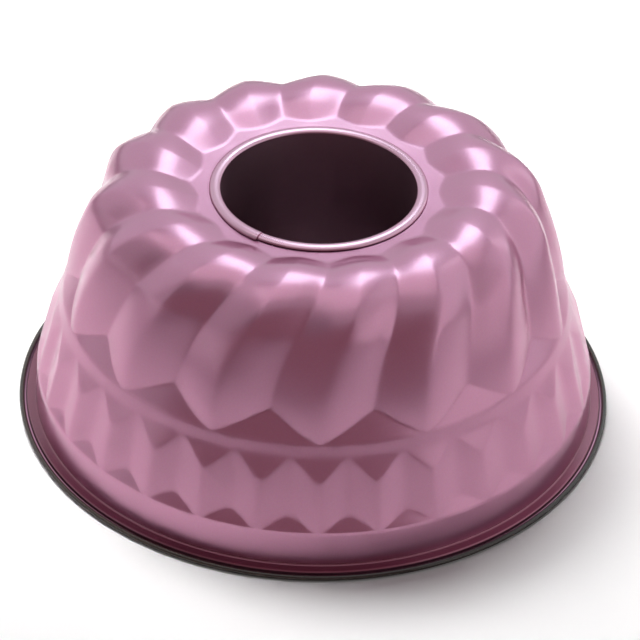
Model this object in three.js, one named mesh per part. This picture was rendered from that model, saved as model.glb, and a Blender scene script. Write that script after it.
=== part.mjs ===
import * as THREE from 'three';

// Fluted tube pan, standing upside down on its rim as it was photographed.
// Millimetres. +Z is up along the tube, and the origin is the centre of the rim plane.

// Sheet and the rolled joint
const SHEET = 0.6;
const SEAM_CLEARANCE = 0.3;

// Rim: a rolled edge, a narrow flange and the fillet that leads into the wall
const RIM_RADIUS = 110;
const CURL_RADIUS = 1.25;
const CURL_SWEEP = 280;
const FLANGE_WIDTH = 1;
const FILLET_RADIUS = 3.6;
const LOWER_RING_DRAFT = 4;

// Faceted band: upright prisms, two to each flute, that begin and end in small hip facets
const WALL_DRAFT = 15;
const PRISM_FOOT = 14;
const PRISM_HEIGHT = 28.3;
const PRISM_DEPTH = 1.8;
const PRISM_HIP = 7.6;

// Swirled flutes: lobes with a crest at the crown, a round shoulder and a hip at the foot
const FLUTE_COUNT = 15;
const MIDDLE_RING_WIDTH = 5.1;
const FLUTE_DEPTH = 4.2;
const FLUTE_HIP = 10;
const SWIRL = 15.3;
const CREST_HEIGHT = 96.4;
const SHOULDER_RADIUS = 25;
const CROWN_SHARPNESS = 0.25;
const FOOT_SHARPNESS = 0.9;

// Flat ring of the crown between the lobes and the tube's bead
const LOBE_RISE = 5.4;
const ANNULUS_WIDTH = 4.1;
const SCALLOP = 2.7;

// Centre tube: a rolled strip with a lap seam, wider at the crown than at its free end
const BORE_RADIUS = 35.3;
const TIP_RADIUS = 27;
const TIP_HEIGHT = 2;
const BEAD_RADIUS = 2.05;
const LAP_AZIMUTH = -34.2;
const LAP_ANGLE = 9;
const JOGGLE_ANGLE = 24;

// Values that follow from the sizes above
const rad = (degrees) => degrees * Math.PI / 180;
const draft = rad(WALL_DRAFT);
const slope = Math.tan(draft);
const annulusHeight = CREST_HEIGHT - LOBE_RISE;
const curlCentre = RIM_RADIUS - CURL_RADIUS;
const filletCentre = curlCentre - FLANGE_WIDTH;
const filletHeight = SHEET + FILLET_RADIUS;
const lowerDraft = rad(LOWER_RING_DRAFT);
const wallFootRadius = filletCentre - FILLET_RADIUS * Math.cos(lowerDraft);
const wallFootHeight = filletHeight - FILLET_RADIUS * Math.sin(lowerDraft);
const prismTop = PRISM_FOOT + PRISM_HEIGHT;
const prismFootRadius = wallFootRadius - (PRISM_FOOT - wallFootHeight) * Math.tan(lowerDraft);
const fluteFoot = prismTop + MIDDLE_RING_WIDTH;
const shoulderHeight = CREST_HEIGHT - SHOULDER_RADIUS;
const beadCentre = BORE_RADIUS + BEAD_RADIUS;
const beadHeight = annulusHeight + SEAM_CLEARANCE;
const lobeEnd = beadCentre + BEAD_RADIUS + ANNULUS_WIDTH;

// Floor of the prism valleys; the middle ring and the flute ridges lie on the same cone
const grooveRadius = (z) => prismFootRadius - PRISM_DEPTH - (z - PRISM_FOOT) * slope;
const ridgeTopHeight = shoulderHeight + SHOULDER_RADIUS * Math.sin(draft);
const crestRadius = grooveRadius(ridgeTopHeight) - SHOULDER_RADIUS * Math.cos(draft);

// Lengths along a ridge, from the crown's flat ring to the foot of the flutes
const riseLength = Math.hypot(crestRadius - lobeEnd, LOBE_RISE);
const shoulderLength = SHOULDER_RADIUS * (Math.PI / 2 - draft);
const fluteWall = ridgeTopHeight - fluteFoot;
const ridgeLength = riseLength + shoulderLength + fluteWall / Math.cos(draft);

// Turn of the flutes at a share of that length, easing out to none at the foot
function swirlAt(share) {
  return rad(SWIRL) * (1 + Math.cos(Math.PI * share ** 0.9)) / 2;
}

// 0 on a flute's ridge, 1 in its valley, for a place around the pan from 0 to 1
function fluteValley(around) {
  const flute = around * FLUTE_COUNT;
  return 2 * Math.abs(flute - Math.round(flute));
}

// 0 in a prism valley, 1 on its ridge; every flute ridge stands over a prism ridge
function prismRidge(around) {
  const prism = around * 2 * FLUTE_COUNT;
  return 1 - 2 * Math.abs(prism - Math.round(prism));
}

// Depth of a flute as a share: round lobes at the crown, sharper ridges further down
function fluteShape(around, share) {
  const u = fluteValley(around);
  const soft = 0.08;
  const sharp = (Math.hypot(u, soft) - soft) / (Math.hypot(1, soft) - soft);
  const blend = CROWN_SHARPNESS + (FOOT_SHARPNESS - CROWN_SHARPNESS) * share;
  return (1 - blend) * u * u + blend * sharp;
}

// A row of the sheet is a closed line round the pan, with a radius, a height and a turn
const fine = 8 * FLUTE_COUNT;
const coarse = 4 * FLUTE_COUNT;

function ring(r, z, turn = 0) {
  return { count: coarse, at: () => ({ r, z, turn }) };
}

function arcRing(centreR, centreZ, radius, degrees, turn = 0) {
  const angle = rad(degrees);
  return ring(centreR + radius * Math.cos(angle), centreZ + radius * Math.sin(angle), turn);
}

// Rise of the lobes from the flat ring, q from 0 at their inner ends to 1 on the crest
function riseRow(q) {
  const share = q * riseLength / ridgeLength;
  return {
    count: fine,
    at: (around) => {
      const shape = fluteShape(around, share);
      const start = lobeEnd + SCALLOP * shape;
      const top = CREST_HEIGHT - FLUTE_DEPTH * shape;
      return {
        r: start + (crestRadius - start) * q,
        z: annulusHeight + (top - annulusHeight) * (1 - (1 - q) ** 2),
        turn: swirlAt(share),
      };
    },
  };
}

// Round shoulder of the lobes, at an angle above level
function shoulderRow(degrees) {
  const angle = rad(degrees);
  const share = (riseLength + SHOULDER_RADIUS * (Math.PI / 2 - angle)) / ridgeLength;
  return {
    count: fine,
    at: (around) => {
      const radius = SHOULDER_RADIUS - FLUTE_DEPTH * fluteShape(around, share);
      return {
        r: crestRadius + radius * Math.cos(angle),
        z: shoulderHeight + radius * Math.sin(angle),
        turn: swirlAt(share),
      };
    },
  };
}

// Straight part of the flutes; the height of each point above their foot may vary around
function flutePoint(around, height, depth) {
  return {
    r: grooveRadius(fluteFoot + height) - depth * Math.cos(draft),
    z: fluteFoot + height - depth * Math.sin(draft),
    turn: swirlAt(1 - height / Math.cos(draft) / ridgeLength),
  };
}

function fluteRow(height) {
  const share = 1 - height / Math.cos(draft) / ridgeLength;
  return {
    count: fine,
    at: (around) => flutePoint(around, height, FLUTE_DEPTH * fluteShape(around, share)),
  };
}

// Upper edge of the hip facets, which run from each valley out to the middle ring
const shortest = 0.06;
const fluteHipRow = {
  count: fine,
  at: (around) => {
    const shape = fluteShape(around, 1);
    return flutePoint(around, FLUTE_HIP * Math.max(shape, shortest), FLUTE_DEPTH * shape);
  },
};
const middleRingRow = { count: fine, at: (around) => flutePoint(around, 0, 0) };

// Edges of the prisms' hip facets, at the upper and lower ends of the band
function prismRow(heightAt) {
  return {
    count: coarse,
    at: (around) => {
      const ridge = prismRidge(around);
      const z = heightAt(ridge);
      return { r: grooveRadius(z) + PRISM_DEPTH * ridge, z, turn: 0 };
    },
  };
}

// Outer face of the shell, from the edge of the crown's hole to the end of the rolled rim
const crownTurn = rad(SWIRL);
const collarRadius = BEAD_RADIUS - 2 * SHEET - SEAM_CLEARANCE;
const collar = (degrees) => arcRing(beadCentre, beadHeight, collarRadius, degrees, crownTurn);
const curlInside = CURL_RADIUS - SHEET;
const curlSteps = 7;
const curl = (step) => arcRing(
  curlCentre, CURL_RADIUS, curlInside, CURL_SWEEP * step / curlSteps - 90);
const filletStart = 180 + LOWER_RING_DRAFT;
const fillet = (q) => arcRing(
  filletCentre, filletHeight, FILLET_RADIUS, filletStart + (270 - filletStart) * q);

const shellRows = [
  collar(110),
  collar(145),
  collar(180),
  ring(beadCentre - collarRadius, annulusHeight, crownTurn),
  riseRow(0),
  riseRow(0.3),
  riseRow(0.65),
  riseRow(1),
  ...[75, 60, 45, 30, WALL_DRAFT].map(shoulderRow),
  fluteRow((fluteWall + FLUTE_HIP) / 2),
  fluteHipRow,
  middleRingRow,
  ring(grooveRadius(prismTop), prismTop),
  prismRow((ridge) => prismTop - PRISM_HIP * Math.max(ridge, shortest)),
  prismRow((ridge) => PRISM_FOOT + PRISM_HIP * Math.max(1 - ridge, shortest)),
  ring(prismFootRadius, PRISM_FOOT),
  fillet(0),
  fillet(0.35),
  fillet(0.7),
  fillet(1),
  ...Array.from({ length: curlSteps + 1 }, (_, step) => curl(step)),
];

// Points of one row, as vectors
function rowPoints(row) {
  const points = [];
  for (let i = 0; i < row.count; i += 1) {
    const around = i / row.count;
    const { r, z, turn } = row.at(around);
    const azimuth = 2 * Math.PI * around + turn;
    points.push(new THREE.Vector3(r * Math.sin(azimuth), -r * Math.cos(azimuth), z));
  }
  return points;
}

// Triangles between two neighbouring rows, which have equal counts or differ by two to one
function stripTriangles(upper, lower) {
  const triangles = [];
  const pick = (row, i) => row[i % row.length];
  const steps = Math.min(upper.length, lower.length);
  for (let i = 0; i < steps; i += 1) {
    if (upper.length === lower.length) {
      triangles.push([upper[i], lower[i], pick(upper, i + 1)]);
      triangles.push([lower[i], pick(lower, i + 1), pick(upper, i + 1)]);
    } else if (upper.length > lower.length) {
      const middle = upper[2 * i + 1];
      triangles.push([upper[2 * i], lower[i], middle]);
      triangles.push([middle, lower[i], pick(lower, i + 1)]);
      triangles.push([middle, pick(lower, i + 1), pick(upper, 2 * i + 2)]);
    } else {
      const middle = lower[2 * i + 1];
      triangles.push([upper[i], lower[2 * i], middle]);
      triangles.push([upper[i], middle, pick(upper, i + 1)]);
      triangles.push([pick(upper, i + 1), middle, pick(lower, 2 * i + 2)]);
    }
  }
  return triangles;
}

// Mean normal at every point of a skin, lengthened where the sheet bends
function skinNormals(points, triangles) {
  const normals = points.map(() => new THREE.Vector3());
  const touching = points.map(() => []);
  for (const corners of triangles) {
    const [a, b, c] = corners.map((i) => points[i]);
    const face = b.clone().sub(a).cross(c.clone().sub(a)).normalize();
    corners.forEach((corner, k) => {
      const next = points[corners[(k + 1) % 3]].clone().sub(points[corner]);
      const last = points[corners[(k + 2) % 3]].clone().sub(points[corner]);
      normals[corner].addScaledVector(face, next.angleTo(last));
      touching[corner].push(face);
    });
  }
  return normals.map((normal, i) => {
    normal.normalize();
    const spread = touching[i].reduce((sum, face) => sum + face.dot(normal), 0);
    return normal.multiplyScalar(touching[i].length / spread);
  });
}

// Closed mesh from two skins with the same layout, joined along their first and last rows
function closedSheet(front, back, rows, triangles) {
  const count = front.length;
  const indices = [];
  for (const [a, b, c] of triangles) {
    indices.push(a, b, c, count + a, count + c, count + b);
  }
  const first = rows[0];
  const last = rows[rows.length - 1];
  first.forEach((corner, i) => {
    const next = first[(i + 1) % first.length];
    indices.push(corner, next, count + next, corner, count + next, count + corner);
  });
  last.forEach((corner, i) => {
    const next = last[(i + 1) % last.length];
    indices.push(next, corner, count + corner, next, count + corner, count + next);
  });
  const positions = [...front, ...back].flatMap((point) => [point.x, point.y, point.z]);
  const geometry = new THREE.BufferGeometry();
  geometry.setAttribute('position', new THREE.Float32BufferAttribute(positions, 3));
  geometry.setIndex(indices);
  geometry.computeVertexNormals();
  return geometry;
}

// The shell: its outer face, and its food side one sheet behind it
function shellGeometry() {
  const points = [];
  const rows = shellRows.map((row) => rowPoints(row).map((point) => points.push(point) - 1));
  const triangles = [];
  for (let i = 0; i + 1 < rows.length; i += 1) {
    triangles.push(...stripTriangles(rows[i], rows[i + 1]));
  }
  const normals = skinNormals(points, triangles);
  const foodSide = points.map((point, i) => point.clone().addScaledVector(normals[i], -SHEET));
  return closedSheet(points, foodSide, rows, triangles);
}

// Bore side of the tube's strip, from its free end up and over the bead
function tubePath() {
  const path = [];
  const coneSteps = 3;
  for (let i = 0; i < coneSteps; i += 1) {
    const q = i / coneSteps;
    path.push(new THREE.Vector2(
      TIP_RADIUS + (BORE_RADIUS - TIP_RADIUS) * q,
      TIP_HEIGHT + (beadHeight - TIP_HEIGHT) * q));
  }
  const beadSteps = 6;
  for (let i = 0; i <= beadSteps; i += 1) {
    const angle = Math.PI * (1 - i / beadSteps);
    path.push(new THREE.Vector2(
      beadCentre + BEAD_RADIUS * Math.cos(angle),
      beadHeight + BEAD_RADIUS * Math.sin(angle)));
  }
  return path;
}

// Normals of that path towards the bore, lengthened where it bends
function pathNormals(path) {
  const across = [];
  for (let i = 0; i + 1 < path.length; i += 1) {
    const along = path[i + 1].clone().sub(path[i]).normalize();
    across.push(new THREE.Vector2(-along.y, along.x));
  }
  return path.map((_, i) => {
    const before = across[Math.max(i - 1, 0)];
    const after = across[Math.min(i, across.length - 1)];
    const mean = before.clone().add(after).normalize();
    return mean.multiplyScalar(1 / mean.dot(after));
  });
}

// Columns of the strip: it starts under its own other end, runs right round and laps over it
function lapColumns() {
  const step = 0.2;
  const columns = [];
  const overlap = 360 - LAP_ANGLE;
  const singleSteps = coarse;
  for (let i = 0; i <= singleSteps; i += 1) {
    const degrees = step + (overlap - 2 * step) * i / singleSteps;
    const lift = Math.max(0, 1 - (overlap - degrees) / JOGGLE_ANGLE);
    columns.push({ degrees, over: SHEET * lift, under: SHEET * lift - SHEET });
  }
  for (const degrees of [overlap + step, 360 - LAP_ANGLE / 2, 360 - step]) {
    columns.push({ degrees, over: SHEET, under: -SHEET });
  }
  return columns;
}

// The tube: one strip, doubled over the lap
function tubeGeometry() {
  const path = tubePath();
  const normals = pathNormals(path);
  const columns = lapColumns();
  const skin = (side) => path.flatMap((point, i) => columns.map((column) => {
    const place = point.clone().addScaledVector(normals[i], column[side]);
    const azimuth = rad(LAP_AZIMUTH + column.degrees);
    return new THREE.Vector3(
      place.x * Math.sin(azimuth), -place.x * Math.cos(azimuth), place.y);
  }));
  const rows = path.map((_, i) => columns.map((__, j) => i * columns.length + j));
  const triangles = [];
  for (let i = 0; i + 1 < rows.length; i += 1) {
    triangles.push(...stripTriangles(rows[i], rows[i + 1]));
  }
  return closedSheet(skin('over'), skin('under'), rows, triangles);
}

function part(name, geometry, material) {
  const mesh = new THREE.Mesh(geometry, material);
  mesh.name = name;
  return mesh;
}

const shellLacquer = new THREE.MeshStandardMaterial({
  name: 'shell_lacquer', color: 0xbd8aa6, metalness: 0.6, roughness: 0.32, flatShading: true,
});
const tubeLacquer = new THREE.MeshStandardMaterial({
  name: 'tube_lacquer', color: 0xb583a0, metalness: 0.6, roughness: 0.32, flatShading: true,
});

const pan = new THREE.Group();
pan.name = 'fluted_tube_pan';
pan.add(part('fluted_shell', shellGeometry(), shellLacquer));
pan.add(part('centre_tube', tubeGeometry(), tubeLacquer));

export default pan;
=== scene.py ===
"""Fluted tube pan, upside down on its rim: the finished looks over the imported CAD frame.

Sizes are written in millimetres and turned to metres where the meshes are made.
"""

import math

import bpy
from mathutils import Matrix, Vector


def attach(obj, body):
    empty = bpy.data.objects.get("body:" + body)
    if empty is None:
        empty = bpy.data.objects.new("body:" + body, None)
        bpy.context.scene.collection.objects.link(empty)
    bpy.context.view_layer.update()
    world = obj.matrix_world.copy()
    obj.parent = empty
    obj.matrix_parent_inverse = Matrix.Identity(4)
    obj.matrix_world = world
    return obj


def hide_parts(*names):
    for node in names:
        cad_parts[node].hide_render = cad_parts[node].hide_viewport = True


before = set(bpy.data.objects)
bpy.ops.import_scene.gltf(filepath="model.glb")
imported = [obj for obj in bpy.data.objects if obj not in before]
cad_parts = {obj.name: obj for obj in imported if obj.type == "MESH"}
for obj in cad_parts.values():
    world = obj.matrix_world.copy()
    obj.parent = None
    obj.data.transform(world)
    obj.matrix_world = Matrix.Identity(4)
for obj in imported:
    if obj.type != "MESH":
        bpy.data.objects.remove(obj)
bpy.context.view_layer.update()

MM = 0.001

# Sheet and the rolled joint
SHEET = 0.6
SEAM_CLEARANCE = 0.3

# Rim
RIM_RADIUS = 110
CURL_RADIUS = 0.95
CURL_SWEEP = 280
FLANGE_HEIGHT = 2.2
FLANGE_END = 106.9
# Outer edge of the flange's darker lacquer, which paints the groove's shade
FLANGE_SHADE_END = 107.2
# Radius and height along the step from the flange down to the curl
FLANGE_STEP = ((107.3, 1.8), (107.4, 1), (107.55, 0.72), (107.9, 0.61))
FILLET_RADIUS = 0.7
WALL_FOOT_RADIUS = 103.7
LOWER_RING_DRAFT = 3
LOWER_RING_ROWS = (15.05, 14.75, 14.2, 12, 9, 6.5, 4.5, 3.4)

# Faceted band
WALL_DRAFT = math.radians(15)
GROOVE_FOOT_RADIUS = 101.7
GROOVE_FOOT_HEIGHT = 14
PRISM_FOOT = 15.8
PRISM_TOP = 42.3
PRISM_DEPTH = 1.8
PRISM_HIP = 7.6
PRISM_FOOT_HIP = 5
# Run of the lower facets' edge out over the lower ring, to a millimetre of height
PRISM_FOOT_RUN = 0.4

# Swirled flutes
FLUTE_PITCH = 24
FLUTE_FOOT = 47.4
FLUTE_DEPTH = 4.2
CROWN_DEPTH = 1.7
FLUTE_HIP = 10
FLUTE_BULGE = 0.9
SWIRL = 15.3
SWIRL_EASE = 0.9
CREST_HEIGHT = 96.4
SHOULDER_RADIUS = 25
CROWN_SHARPNESS = 0.25
FOOT_SHARPNESS = 0.9

# Flat ring of the crown
LOBE_RISE = 5.4
LOBE_EASE = 0.45
RING_SLOPE = 0.06
ANNULUS_WIDTH = 4.1
SCALLOP = 2.7

# Centre tube
BORE_RADIUS = 35.3
TIP_RADIUS = 27
TIP_HEIGHT = 2
BEAD_RADIUS = 2.05
BEAD_RISE = 1.1
LAP_AZIMUTH = -34.2
LAP_ANGLE = 9
# Lift of the lapped end over its start, in the bore and at the bead's outer side
LAP_LIFT = 0.06
LAP_TAB_LIFT = 0.8
JOGGLE_ANGLE = 24

# How far the press leaves an edge rounded, to either side of it
RIDGE_ROUNDING = 0.07
RIDGE_FOOT_ROUNDING = 0.12
VALLEY_ROUNDING = 0.1
PRISM_RIDGE_ROUNDING = 0.3
PRISM_VALLEY_ROUNDING = 0.25
HIP_ROUNDING = 0.3
RING_ROUNDING = 0.45
PRISM_FOOT_ROUNDING = 0.6
LOBE_END_ROUNDING = 0.5

# Least share of a hip's height that its rows keep where the hip runs out
HIP_LEAST = 0.06

# Columns over half a prism, in degrees, closer beside its edges
HALF_PRISM = FLUTE_PITCH / 4
COLUMNS = (0, 0.35, 0.9, 2.2, 3.8, 5.1, 5.65)

# Values that follow from the sizes above
annulus_height = CREST_HEIGHT - LOBE_RISE
curl_centre = RIM_RADIUS - CURL_RADIUS
fillet_height = FLANGE_HEIGHT + FILLET_RADIUS
shoulder_height = CREST_HEIGHT - SHOULDER_RADIUS
bead_centre = BORE_RADIUS + BEAD_RADIUS
bead_height = annulus_height + SEAM_CLEARANCE
lobe_end = bead_centre + BEAD_RADIUS + ANNULUS_WIDTH
collar_radius = BEAD_RADIUS - 2 * SHEET - SEAM_CLEARANCE


def lower_ring_radius(z):
    return WALL_FOOT_RADIUS - (z - fillet_height) * math.tan(math.radians(LOWER_RING_DRAFT))


def groove_radius(z):
    """Cone of the prism valleys, the middle ring and the flute ridges."""
    return GROOVE_FOOT_RADIUS - (z - GROOVE_FOOT_HEIGHT) * math.tan(WALL_DRAFT)


ridge_top = shoulder_height + SHOULDER_RADIUS * math.sin(WALL_DRAFT)
crest_radius = groove_radius(ridge_top) - SHOULDER_RADIUS * math.cos(WALL_DRAFT)
rise_length = math.hypot(crest_radius - lobe_end, LOBE_RISE)
shoulder_length = SHOULDER_RADIUS * (math.pi / 2 - WALL_DRAFT)
flute_wall = ridge_top - FLUTE_FOOT
ridge_length = rise_length + shoulder_length + flute_wall / math.cos(WALL_DRAFT)


def soft_min(a, b, reach):
    overlap = max(reach - abs(a - b), 0) / reach
    return min(a, b) - overlap * overlap * reach / 4


def soft_max(a, b, reach):
    return -soft_min(-a, -b, reach)


def rounded(x, reach):
    """x from 0 to 1 with its corner at 0 rounded over that reach."""
    return (math.hypot(x, reach) - reach) / (math.hypot(1, reach) - reach)


def swirl_at(share):
    """Turn of the flutes in degrees, at a share of the way from the crown to their foot."""
    return SWIRL * (1 + math.cos(math.pi * max(share, 0) ** SWIRL_EASE)) / 2


def flute_depth(share):
    """Depth of the valleys, shallow on the crest and full from half the way down."""
    crest = rise_length / ridge_length
    way = min(max((share - crest) / (0.5 - crest), 0), 1)
    return CROWN_DEPTH + (FLUTE_DEPTH - CROWN_DEPTH) * way * way * (3 - 2 * way)


def flute_shape(around, share):
    """0 on a flute's ridge, 1 in its valley: round lobes at the crown, sharper ridges below."""
    turns = around / FLUTE_PITCH
    u = 2 * abs(turns - round(turns))
    u = 1 - rounded(1 - u, VALLEY_ROUNDING)
    blend = CROWN_SHARPNESS + (FOOT_SHARPNESS - CROWN_SHARPNESS) * share
    reach = RIDGE_ROUNDING + (RIDGE_FOOT_ROUNDING - RIDGE_ROUNDING) * max(2 * share - 1, 0)
    return (1 - blend) * u * u + blend * rounded(u, reach)


def prism_shape(around):
    """1 on a prism's ridge, 0 in its valley, two prisms to a flute."""
    turns = 2 * around / FLUTE_PITCH
    ridge = rounded(1 - 2 * abs(turns - round(turns)), PRISM_VALLEY_ROUNDING)
    return 1 - rounded(1 - ridge, PRISM_RIDGE_ROUNDING)


# Rows of the shell's outer face. A row gives radius, height and turn for a place around.
def ring(r, z, turn=0):
    return lambda around: (r, z, turn)


def arc_ring(centre_r, centre_z, radius, degrees, turn=0):
    angle = math.radians(degrees)
    return ring(centre_r + radius * math.cos(angle), centre_z + radius * math.sin(angle), turn)


def rise_row(q):
    """Rise of the lobes from the flat ring, with q from 0 at their inner ends to 1 on the crest."""
    share = q * rise_length / ridge_length
    eased = 2 * q / (1 + LOBE_EASE) if q < LOBE_EASE else 1 - (1 - q) ** 2 / (1 - LOBE_EASE**2)

    def place(around):
        shape = flute_shape(around, max(share, 0))
        start = lobe_end + SCALLOP * shape
        foot = (start - lobe_end + ANNULUS_WIDTH) * RING_SLOPE
        rise = (LOBE_RISE - foot - flute_depth(share) * shape) * eased
        z = annulus_height + max(foot + soft_max(rise, 0, LOBE_END_ROUNDING), 0)
        return start + (crest_radius - start) * q, z, swirl_at(share)

    return place


def shoulder_row(degrees):
    angle = math.radians(degrees)
    share = (rise_length + SHOULDER_RADIUS * (math.pi / 2 - angle)) / ridge_length

    def place(around):
        radius = SHOULDER_RADIUS - flute_depth(share) * flute_shape(around, share)
        r = crest_radius + radius * math.cos(angle)
        return r, shoulder_height + radius * math.sin(angle), swirl_at(share)

    return place


def flute_point(around, height):
    """A place on the straight part of the flutes, whose valleys run out in hip facets."""
    share = 1 - height / math.cos(WALL_DRAFT) / ridge_length
    valley = FLUTE_DEPTH * flute_shape(around, min(share, 1))
    depth = soft_min(valley, height * FLUTE_DEPTH / FLUTE_HIP, HIP_ROUNDING)
    depth = soft_max(depth, 0, RING_ROUNDING)
    up = min(max(height / flute_wall, 0), 1)
    r = groove_radius(FLUTE_FOOT + height) + 4 * FLUTE_BULGE * up * (1 - up)
    r -= depth * math.cos(WALL_DRAFT)
    z = FLUTE_FOOT + height - depth * math.sin(WALL_DRAFT)
    return r, z, swirl_at(min(share, 1))


def flute_row(above, share):
    """A row that lies a share of the way above the hips' edge, or below it towards the foot."""

    def place(around):
        hip = FLUTE_HIP * max(flute_shape(around, 1), HIP_LEAST)
        return flute_point(around, hip + (flute_wall - hip) * share if above else hip * share)

    return place


def prism_point(around, z):
    """A place on the faceted band, whose ridges and valleys begin and end in hip facets."""
    ring_out = lower_ring_radius(PRISM_FOOT) - groove_radius(PRISM_FOOT)
    upper = (PRISM_TOP - z) * PRISM_DEPTH / PRISM_HIP
    lower = ring_out * (1 - (z - PRISM_FOOT) / PRISM_FOOT_HIP)
    out = soft_min(PRISM_DEPTH * prism_shape(around), upper, HIP_ROUNDING)
    out = soft_max(soft_max(out, lower, HIP_ROUNDING), 0, RING_ROUNDING)
    ring_edge = lower_ring_radius(z) + PRISM_FOOT_RUN * max(z - PRISM_FOOT, 0)
    return soft_min(groove_radius(z) + out, ring_edge, PRISM_FOOT_ROUNDING), z, 0


def prism_row(part, share):
    """A row on the upper facets, on the prisms' own faces or on the lower facets."""

    def place(around):
        ridge = prism_shape(around)
        upper = PRISM_TOP - PRISM_HIP * max(ridge, HIP_LEAST)
        lower = PRISM_FOOT + PRISM_FOOT_HIP * max(1 - ridge, HIP_LEAST)
        high, low = {
            "upper": (PRISM_TOP, upper),
            "face": (upper, lower),
            "lower": (lower, PRISM_FOOT),
        }[part]
        return prism_point(around, high + (low - high) * share)

    return place


def level_row(point, height):
    return lambda around: point(around, height)


def shell_rows():
    """All rows, from the edge of the crown's hole down to the end of the rolled rim."""
    foot = bead_centre - collar_radius
    rows = [ring(foot, annulus_height + height, SWIRL) for height in (0.3, 0.2, 0.12)]
    rows += [ring(foot + 0.12, annulus_height, SWIRL)]
    rows += [ring(39.5, annulus_height, SWIRL), ring(41, annulus_height + 0.09, SWIRL)]
    rises = (-0.08, -0.045, -0.015, 0.015, 0.045, 0.08, 0.14, 0.22, 0.32, 0.44, 0.58, 0.72, 0.86)
    rows += [rise_row(q) for q in rises]
    shoulder = (90, 83, 76, 69, 62, 55, 48, 42, 36, 30, 25)
    rows += [shoulder_row(degrees) for degrees in shoulder]
    walls = (0.95, 0.84, 0.72, 0.58, 0.44, 0.31, 0.2, 0.11, 0.05, 0.02)
    rows += [flute_row(True, share) for share in walls]
    rows += [flute_row(False, share) for share in (1, 0.95, 0.88, 0.7, 0.45, 0.2, 0.08, 0.03)]
    rows += [level_row(flute_point, height) for height in (-0.2, -0.45, -0.9, -2.5)]
    rows += [level_row(prism_point, PRISM_TOP + height) for height in (0.9, 0.45, 0.15)]
    facet = (0.03, 0.08, 0.2, 0.45, 0.7, 0.88, 0.95)
    rows += [prism_row("upper", share) for share in facet]
    rows += [prism_row("face", share) for share in (0, 0.03, 0.08, 0.25, 0.5, 0.75, 0.92, 0.97)]
    rows += [prism_row("lower", share) for share in (0, 0.05, 0.12, 0.3, 0.55, 0.8, 0.92, 0.97)]
    rows += [level_row(prism_point, z) for z in LOWER_RING_ROWS]
    fillet_centre = WALL_FOOT_RADIUS + FILLET_RADIUS
    rows += [
        arc_ring(fillet_centre, fillet_height, FILLET_RADIUS, 180 + 15 * step) for step in range(7)
    ]
    rows += [ring(106, FLANGE_HEIGHT), ring(FLANGE_END, FLANGE_HEIGHT)]
    rows += [ring(r, z) for r, z in FLANGE_STEP]
    rows += [
        arc_ring(curl_centre, CURL_RADIUS, CURL_RADIUS - SHEET, CURL_SWEEP * step / 16 - 90)
        for step in range(17)
    ]
    return rows


# Mesh work
def select_none():
    if bpy.context.mode != "OBJECT":
        bpy.ops.object.mode_set(mode="OBJECT")
    bpy.ops.object.select_all(action="DESELECT")


def spun_sheet(name, outline, sweep, steps):
    """Draws an outline of (r, z) point by point in the front half-plane and spins it about Z."""
    select_none()
    bpy.ops.mesh.primitive_plane_add(size=MM, location=(0, 0, 0))
    piece = bpy.context.object
    piece.name = piece.data.name = name
    bpy.ops.object.mode_set(mode="EDIT")
    bpy.ops.mesh.merge(type="CENTER")
    # Leaving edit mode once lets the points drawn next be numbered in their order
    bpy.ops.object.mode_set(mode="OBJECT")
    bpy.ops.object.mode_set(mode="EDIT")
    r, z = outline[0]
    bpy.ops.transform.translate(value=(0, -r * MM, z * MM))
    for (r, z), (next_r, next_z) in zip(outline, outline[1:]):
        move = {"value": (0, (r - next_r) * MM, (next_z - z) * MM)}
        bpy.ops.mesh.extrude_region_move(TRANSFORM_OT_translate=move)
    bpy.ops.mesh.select_all(action="SELECT")
    bpy.ops.mesh.spin(
        steps=steps, angle=math.radians(sweep), center=(0, 0, 0), axis=(0, 0, 1)
    )
    bpy.ops.object.mode_set(mode="OBJECT")
    return piece


def place_vertex(vertex, r, z, azimuth):
    """Azimuth in degrees from the front, growing to the right."""
    angle = math.radians(azimuth)
    vertex.co = (r * MM * math.sin(angle), -r * MM * math.cos(angle), z * MM)


def thicken(piece, coats):
    """Gives a skin the sheet's thickness behind it, with the list's next coat on that side."""
    for coat in coats:
        piece.data.materials.append(coat)
    select_none()
    bpy.context.view_layer.objects.active = piece
    piece.select_set(True)
    sheet = piece.modifiers.new("sheet", "SOLIDIFY")
    sheet.thickness = SHEET * MM
    sheet.offset = -1
    sheet.use_quality_normals = True
    sheet.material_offset = 1
    bpy.ops.object.modifier_apply(modifier=sheet.name)
    bpy.ops.object.shade_smooth_by_angle(angle=math.radians(35))


def pressed_shell(coats):
    """Spins the half-pressed outline, then presses flutes and prisms into it. No operator swirls
    a flute and runs it out in a hip, so the press moves the spun sheet's own points."""
    rows = shell_rows()
    halfway = [row(HALF_PRISM / 2)[:2] for row in rows]
    count = round(360 / HALF_PRISM) * len(COLUMNS)
    shell = spun_sheet("pressed_shell", halfway, 360, count)
    for vertex in shell.data.vertices:
        column, row = divmod(vertex.index, len(rows))
        around = HALF_PRISM * (column // len(COLUMNS)) + COLUMNS[column % len(COLUMNS)]
        r, z, turn = rows[row](around)
        place_vertex(vertex, r, z, around + turn)
    select_none()
    bpy.context.view_layer.objects.active = shell
    bpy.ops.object.mode_set(mode="EDIT")
    bpy.ops.mesh.select_all(action="SELECT")
    bpy.ops.mesh.remove_doubles(threshold=0.001 * MM)
    bpy.ops.object.mode_set(mode="OBJECT")
    face_out(shell)
    # Faces on the flange take the third coat, a darker lacquer that paints the shade of the groove
    # by the rim
    for face in shell.data.polygons:
        x, y, z = face.center / MM
        on_flange = z < fillet_height and math.hypot(x, y) < FLANGE_SHADE_END
        face.material_index = 2 if on_flange else 0
    thicken(shell, coats)
    return shell


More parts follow.
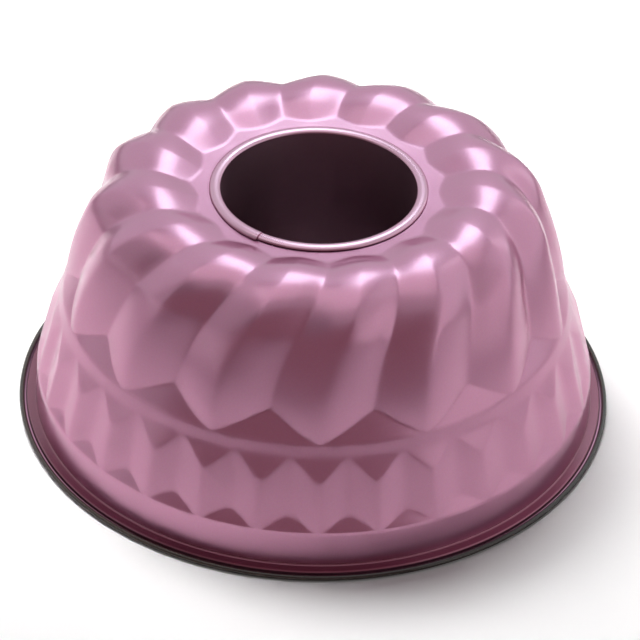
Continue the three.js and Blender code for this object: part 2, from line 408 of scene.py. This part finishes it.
def face_out(piece):
    """Turns all faces of the skin the same way, its highest face upwards."""
    bpy.context.view_layer.objects.active = piece
    bpy.ops.object.mode_set(mode="EDIT")
    bpy.ops.mesh.select_all(action="SELECT")
    bpy.ops.mesh.normals_make_consistent(inside=False)
    bpy.ops.object.mode_set(mode="OBJECT")
    top = max(piece.data.polygons, key=lambda face: face.center.z)
    if top.normal.z < 0:
        bpy.ops.object.mode_set(mode="EDIT")
        bpy.ops.mesh.flip_normals()
        bpy.ops.object.mode_set(mode="OBJECT")


def rolled_tube(coats):
    """Spins the bore side of the strip past a full turn and lifts its end over its start."""
    cone = 12
    bead = 24
    outline = [
        (
            TIP_RADIUS + (BORE_RADIUS - TIP_RADIUS) * i / cone,
            TIP_HEIGHT + (bead_height - TIP_HEIGHT) * i / cone,
        )
        for i in range(cone)
    ]
    lean = math.atan2(bead_height - TIP_HEIGHT, BORE_RADIUS - TIP_RADIUS)
    towards_bore = [(-math.sin(lean), math.cos(lean))] * cone
    for i in range(bead + 1):
        angle = math.pi * (1 - i / bead)
        towards_bore.append((math.cos(angle), math.sin(angle)))
        outline.append(
            (
                bead_centre + BEAD_RADIUS * math.cos(angle),
                bead_height + BEAD_RISE * math.sin(angle),
            )
        )
    steps = 360 + LAP_ANGLE
    tube = spun_sheet("rolled_tube", outline, steps, steps)
    for vertex in tube.data.vertices:
        step, i = divmod(vertex.index, len(outline))
        over = min(max((i - cone) / bead, 0), 1)
        lift = min(max(1 - (360 - step) / JOGGLE_ANGLE, 0), 1)
        lift *= LAP_LIFT + (LAP_TAB_LIFT - LAP_LIFT) * over * over * (3 - 2 * over)
        r, z = (o + lift * n for o, n in zip(outline[i], towards_bore[i]))
        place_vertex(vertex, r, z, LAP_AZIMUTH - LAP_ANGLE + step)
    face_out(tube)
    # Faces below the bead take the third coat, a darker lacquer that paints the shade inside the
    # bore
    for face in tube.data.polygons:
        face.material_index = 2 if face.center.z < (bead_height - 0.5) * MM else 0
    thicken(tube, coats)
    return tube


# Materials
def linear(colour):
    """sRGB hex to linear RGBA."""
    parts = (int(colour[i : i + 2], 16) / 255 for i in (1, 3, 5))
    return [*(c / 12.92 if c <= 0.04045 else ((c + 0.055) / 1.055) ** 2.4 for c in parts), 1]


def add(tree, kind, settings=None, inputs=None):
    """Adds one node with its settings, values and links."""
    node = tree.nodes.new(kind)
    for name, value in (settings or {}).items():
        setattr(node, name, value)
    for name, value in (inputs or {}).items():
        if isinstance(value, bpy.types.NodeSocket):
            tree.links.new(value, node.inputs[name])
        else:
            node.inputs[name].default_value = value
    return node


def new_material(name):
    material = bpy.data.materials.new(name)
    material.use_nodes = True
    material.node_tree.nodes.clear()
    return material, material.node_tree


def mauve_lacquer(name, colour, roughness):
    """Metallic mauve lacquer, sprayed and stoved on pressed steel: tinted, softly blurred
    reflections that stay pink at the edges, under a clear top coat, with a faint orange peel and
    fine flake."""
    material, tree = new_material(name)
    place = add(tree, "ShaderNodeTexCoord")
    # Orange peel of a sprayed coat, waves about 2 mm long
    peel = add(
        tree,
        "ShaderNodeTexNoise",
        inputs={"Vector": place.outputs["Object"], "Scale": 500, "Detail": 2},
    )
    bump = add(
        tree,
        "ShaderNodeBump",
        inputs={"Height": peel.outputs["Fac"], "Strength": 0.02, "Distance": 0.0004},
    )
    # Aluminium flake, drawn 0.4 mm wide where it is about a tenth of that
    flake = add(
        tree,
        "ShaderNodeTexVoronoi",
        inputs={"Vector": place.outputs["Object"], "Scale": 2500},
    )
    tint = add(
        tree,
        "ShaderNodeMix",
        {"data_type": "RGBA", "blend_type": "SOFT_LIGHT"},
        {"Factor": 0.05, 6: linear(colour), 7: flake.outputs["Color"]},
    )
    # Uneven spray over about 25 mm
    spray = add(
        tree,
        "ShaderNodeTexNoise",
        inputs={"Vector": place.outputs["Object"], "Scale": 40, "Detail": 3},
    )
    gloss = add(
        tree,
        "ShaderNodeMapRange",
        inputs={
            "Value": spray.outputs["Fac"],
            "From Min": 0.3,
            "From Max": 0.7,
            "To Min": roughness - 0.02,
            "To Max": roughness + 0.02,
        },
    )
    shader = add(
        tree,
        "ShaderNodeBsdfPrincipled",
        inputs={
            "Base Color": tint.outputs[2],
            "Metallic": 1,
            "Specular Tint": linear("#dca6c2"),
            "Roughness": gloss.outputs["Result"],
            "Coat Weight": 1,
            "Coat IOR": 1.5,
            "Coat Roughness": 0.2,
            "Normal": bump.outputs["Normal"],
        },
    )
    add(tree, "ShaderNodeOutputMaterial", inputs={"Surface": shader.outputs["BSDF"]})
    return material


def release_coat():
    """Dark brown-grey release coat, sprayed and baked on the food side: a low sheen with fine
    pale specks and a slightly pebbled face."""
    material, tree = new_material("baked_release_coat")
    place = add(tree, "ShaderNodeTexCoord")
    # Specks 0.3 mm wide, about 1.5 mm apart
    speck = add(
        tree,
        "ShaderNodeTexVoronoi",
        inputs={"Vector": place.outputs["Object"], "Scale": 667},
    )
    ramp = add(tree, "ShaderNodeValToRGB", inputs={"Fac": speck.outputs["Distance"]})
    ramp.color_ramp.elements[0].position = 0.08
    ramp.color_ramp.elements[0].color = linear("#5d5650")
    ramp.color_ramp.elements[1].position = 0.13
    ramp.color_ramp.elements[1].color = linear("#2c1f18")
    # Pebbled face of the baked spray, about 0.8 mm from crest to crest
    pebble = add(
        tree,
        "ShaderNodeTexNoise",
        inputs={"Vector": place.outputs["Object"], "Scale": 1250, "Detail": 2},
    )
    bump = add(
        tree,
        "ShaderNodeBump",
        inputs={"Height": pebble.outputs["Fac"], "Strength": 0.08, "Distance": 0.0002},
    )
    shader = add(
        tree,
        "ShaderNodeBsdfPrincipled",
        inputs={
            "Base Color": ramp.outputs["Color"],
            "Roughness": 0.2,
            "IOR": 1.55,
            "Normal": bump.outputs["Normal"],
        },
    )
    add(tree, "ShaderNodeOutputMaterial", inputs={"Surface": shader.outputs["BSDF"]})
    return material


def white_paper():
    """Matt white background paper, with the grain of its fibres."""
    material, tree = new_material("matt_white_paper")
    place = add(tree, "ShaderNodeTexCoord")
    # Fibre grain about 1 mm long
    grain = add(
        tree,
        "ShaderNodeTexNoise",
        inputs={"Vector": place.outputs["Object"], "Scale": 1000, "Detail": 3},
    )
    bump = add(
        tree,
        "ShaderNodeBump",
        inputs={"Height": grain.outputs["Fac"], "Strength": 0.03, "Distance": 0.0002},
    )
    shader = add(
        tree,
        "ShaderNodeBsdfPrincipled",
        inputs={
            "Base Color": linear("#f6f6f6"),
            "Roughness": 0.9,
            "Specular IOR Level": 0.1,
            "Normal": bump.outputs["Normal"],
        },
    )
    add(tree, "ShaderNodeOutputMaterial", inputs={"Surface": shader.outputs["BSDF"]})
    return material


# Pieces
coat = release_coat()
lacquer = mauve_lacquer("sprayed_mauve_lacquer", "#b67c98", 0.33)
# Darker copy of the lacquer on the flange: painted shade of the groove between the wall and the
# rolled rim
flange_lacquer_painted_shade = mauve_lacquer("lacquer_darkened_for_flange_shade", "#783f52", 0.36)
shell = pressed_shell([lacquer, coat, flange_lacquer_painted_shade, coat])
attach(shell, "root")
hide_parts("fluted_shell")
# Lighter copy of the lacquer on the bead: painted highlight along its rolled top
bead_lacquer_painted_highlight = mauve_lacquer("lacquer_lightened_for_bead_highlight", "#c295aa", 0.28)
# Darker, browner copy of the lacquer in the bore: painted shade inside the deep tube
bore_lacquer_painted_shade = mauve_lacquer("lacquer_darkened_for_bore_shade", "#937480", 0.48)
tube = rolled_tube([bead_lacquer_painted_highlight, coat, bore_lacquer_painted_shade, coat])
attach(tube, "root")
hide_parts("centre_tube")

select_none()
bpy.ops.mesh.primitive_plane_add(size=6, location=(0, 0, -0.05 * MM))
floor = bpy.context.object
floor.name = "floor"
floor.data.materials.append(white_paper())

# Camera, fitted to the rim, the bead and the flutes of the photograph
ELEVATION = math.radians(37.844)
AZIMUTH = math.radians(-1.7)
ROLL = math.radians(1.6)
DISTANCE = 1.22027
FOCAL_PIXELS = 3245.55
FRAME = 640
CENTRE_SHIFT = (6.722, 68.329)  # of the picture's middle from the pan's foot, in pixels
back = Vector(
    (
        math.cos(ELEVATION) * math.sin(AZIMUTH),
        -math.cos(ELEVATION) * math.cos(AZIMUTH),
        math.sin(ELEVATION),
    )
)
right = Vector((math.cos(AZIMUTH), math.sin(AZIMUTH), 0))
up = back.cross(right)
axis_x = math.cos(ROLL) * right + math.sin(ROLL) * up
axis_y = -math.sin(ROLL) * right + math.cos(ROLL) * up
shift_x, shift_y = (pixels / FOCAL_PIXELS for pixels in CENTRE_SHIFT)
aim = (-back + axis_x * shift_x + axis_y * shift_y).normalized()
axis_x = (axis_x - axis_x.dot(aim) * aim).normalized()
axis_y = axis_x.cross(aim)
camera_data = bpy.data.cameras.new("camera")
camera_data.sensor_width = 36
camera_data.lens = 36 * FOCAL_PIXELS / FRAME
camera = bpy.data.objects.new("camera", camera_data)
turn = Matrix((axis_x, axis_y, -aim)).transposed()
camera.matrix_world = Matrix.Translation(back * DISTANCE) @ turn.to_4x4()
bpy.context.scene.collection.objects.link(camera)
bpy.context.scene.camera = camera


# Light
def softbox(name, place, aim_at, size, power, colour="#ffffff"):
    lamp = bpy.data.lights.new(name, "AREA")
    lamp.shape = "RECTANGLE"
    lamp.size, lamp.size_y = size
    lamp.energy = power
    lamp.color = linear(colour)[:3]
    box = bpy.data.objects.new(name, lamp)
    box.location = place
    towards = Vector(aim_at) - Vector(place)
    box.rotation_euler = towards.to_track_quat("-Z", "Y").to_euler()
    bpy.context.scene.collection.objects.link(box)
    return box


def direction(azimuth, elevation):
    """Unit vector to a place seen from the pan, in degrees from the front and from level."""
    a, e = math.radians(azimuth), math.radians(elevation)
    return Vector((math.sin(a) * math.cos(e), -math.cos(a) * math.cos(e), math.sin(e)))


room = [
    softbox("key_behind", direction(168, 57) * 0.95, (0, 0, 0.08), (0.31, 0.42), 1.7, "#d8f8fa"),
    softbox("back_wall", (0.1, 1.3, 1.0), (0.1, 0, 1.0), (2.8, 2.0), 14.5, "#f2fdff"),
    softbox("right_wall_back", (1.2, 0.6, 1.1), (0, 0.6, 1.1), (1.4, 2.2), 8.6, "#f8feff"),
    softbox("right_wall_front", (1.2, -0.8, 0.45), (0, -0.8, 0.45), (1.4, 0.9), 3.3),
    softbox("right_wall_high", (1.2, -0.8, 1.55), (0, -0.8, 1.55), (1.4, 1.3), 3.3),
    softbox("left_wall_back", (-1.2, 0.8, 1.4), (0, 0.8, 1.4), (0.9, 2.8), 5.4, "#f8feff"),
    softbox("left_wall_front", (-1.2, -0.1, 1.1), (0, -0.1, 1.1), (0.9, 1.8), 1.9),
    softbox("left_low", (-1.2, -0.15, 0.12), (0, -0.15, 0.12), (1.1, 0.24), 0.6),
    softbox("warm_room_front", (-1.4, -2.2, 1.5), (-1.4, 0, 1.5), (6, 3), 7, "#ff6f86"),
    softbox("ceiling", (-0.1, 0.2, 1.6), (-0.1, 0.2, 0), (1.6, 1.2), 6),
    softbox("ceiling_front", (0, -0.75, 1.6), (0, -0.75, 0), (1.6, 0.7), 1.4),
]
# The metal mirrors these, and they leave the paper alone
for wall in room:
    wall.visible_diffuse = False
paper_lights = [
    softbox("paper_light_right", direction(192, 66) * 1.1, (0, 0.12, 0), (0.4, 0.3), 1.5),
    softbox("paper_light_left", direction(220, 59) * 1.1, (0.05, 0.12, 0), (0.4, 0.3), 1.65),
]
# These light the paper and its shadow, and show in no reflection
for lamp in paper_lights:
    lamp.data.spread = math.radians(75)
    lamp.visible_glossy = False

world = bpy.data.worlds.new("room")
bpy.context.scene.world = world
world.use_nodes = True
world.node_tree.nodes.clear()
sky = add(
    world.node_tree,
    "ShaderNodeBackground",
    inputs={"Color": linear("#7e7b7b"), "Strength": 1},
)
add(world.node_tree, "ShaderNodeOutputWorld", inputs={"Surface": sky.outputs["Background"]})

bpy.context.scene.view_settings.view_transform = "Standard"
